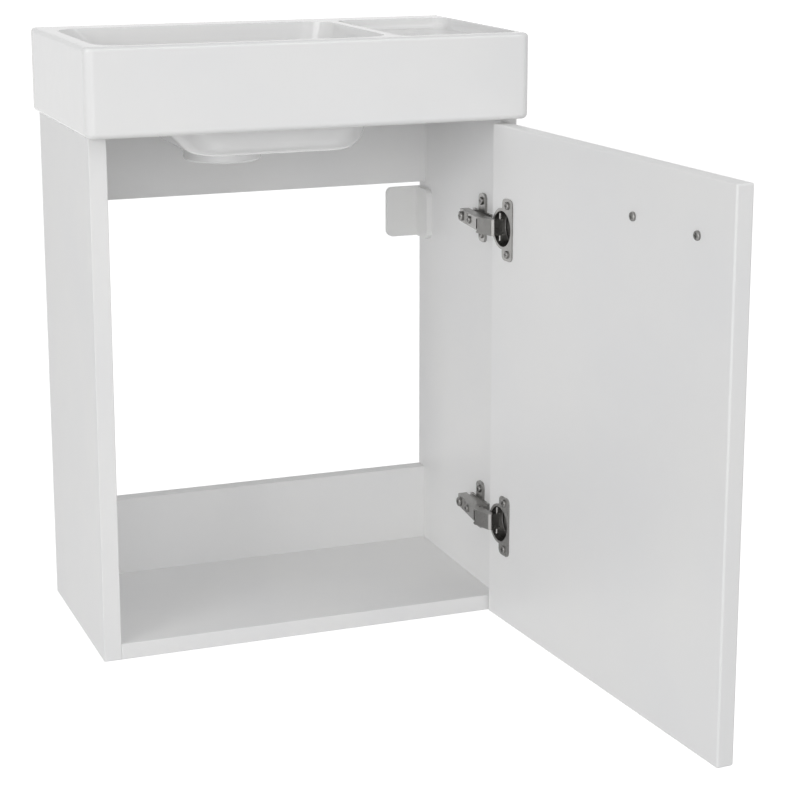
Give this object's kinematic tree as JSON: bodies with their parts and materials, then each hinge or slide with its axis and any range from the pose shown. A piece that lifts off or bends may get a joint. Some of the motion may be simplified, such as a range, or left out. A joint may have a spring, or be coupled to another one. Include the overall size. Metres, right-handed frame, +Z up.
{
  "type": "bathroom vanity cabinet",
  "caption": "Narrow wall-hung bathroom vanity: open-backed cabinet, one hinged door on concealed hinges and a shallow ceramic basin with a side tap deck.",
  "frame": {"origin": "middle of the carcass's lower back edge, on the wall plane", "axes": "+Z up, +Y into the wall, the front faces -Y, +X to the right seen from the front"},
  "size_m": [0.4434, 0.5996, 0.553],
  "materials": {
    "white_board": "satin white melamine-coated chipboard",
    "door_finish": "satin white foil-wrapped fibreboard",
    "glazed_ceramic": "gloss white glaze",
    "white_plastic": "white moulded plastic",
    "nickel_steel": "nickel-plated steel",
    "zinc": "zinc-plated steel",
    "handle_metal": "polished chrome",
    "beech": "raw beech"
  },
  "bodies": {
    "cabinet": {"angle_cover_left": "white_plastic", "angle_cover_right": "white_plastic", "back_rail_lower": "white_board", "back_rail_upper": "white_board", "basin": "glazed_ceramic", "bottom_panel": "white_board", "cam_bolts": "zinc", "cam_discs": "zinc", "hinge_adjusting_screws": "nickel_steel", "hinge_arm_lower": "nickel_steel", "hinge_arm_pin_lower": "nickel_steel", "hinge_arm_pin_upper": "nickel_steel", "hinge_arm_upper": "nickel_steel", "hinge_fixing_screws": "nickel_steel", "hinge_plate_lower": "nickel_steel", "hinge_plate_screws": "nickel_steel", "hinge_plate_upper": "nickel_steel", "side_panel_left": "white_board", "side_panel_right": "white_board", "wall_angle_left": "zinc", "wall_angle_right": "zinc", "wall_angle_screws": "zinc", "wooden_dowels": "beech"},
    "hinge_links": {"hinge_link_lower": "nickel_steel", "hinge_link_upper": "nickel_steel"},
    "door": {"door_panel": "door_finish", "handle": "handle_metal", "handle_screws": "nickel_steel", "hinge_cup_lower": "nickel_steel", "hinge_cup_pin_lower": "nickel_steel", "hinge_cup_pin_upper": "nickel_steel", "hinge_cup_screws": "nickel_steel", "hinge_cup_upper": "nickel_steel"}
  },
  "joints": [
    {"name": "hinge_link_swing", "type": "hinge", "parent": "cabinet", "child": "hinge_links", "pos_m": [0.1667, -0.1988, 0.2355], "axis": [0, 0, 1], "range_deg": [-1.5, 34.6]},
    {"name": "door_swing", "type": "hinge", "parent": "hinge_links", "child": "door", "pos_m": [0.17793, -0.21651, 0.2355], "axis": [0, 0, 1], "range_deg": [-128.59, 5.47]}
  ],
  "couplings": [
    {"joint": "hinge_link_swing", "follows": "door_swing", "ratio": -0.26901}
  ]
}
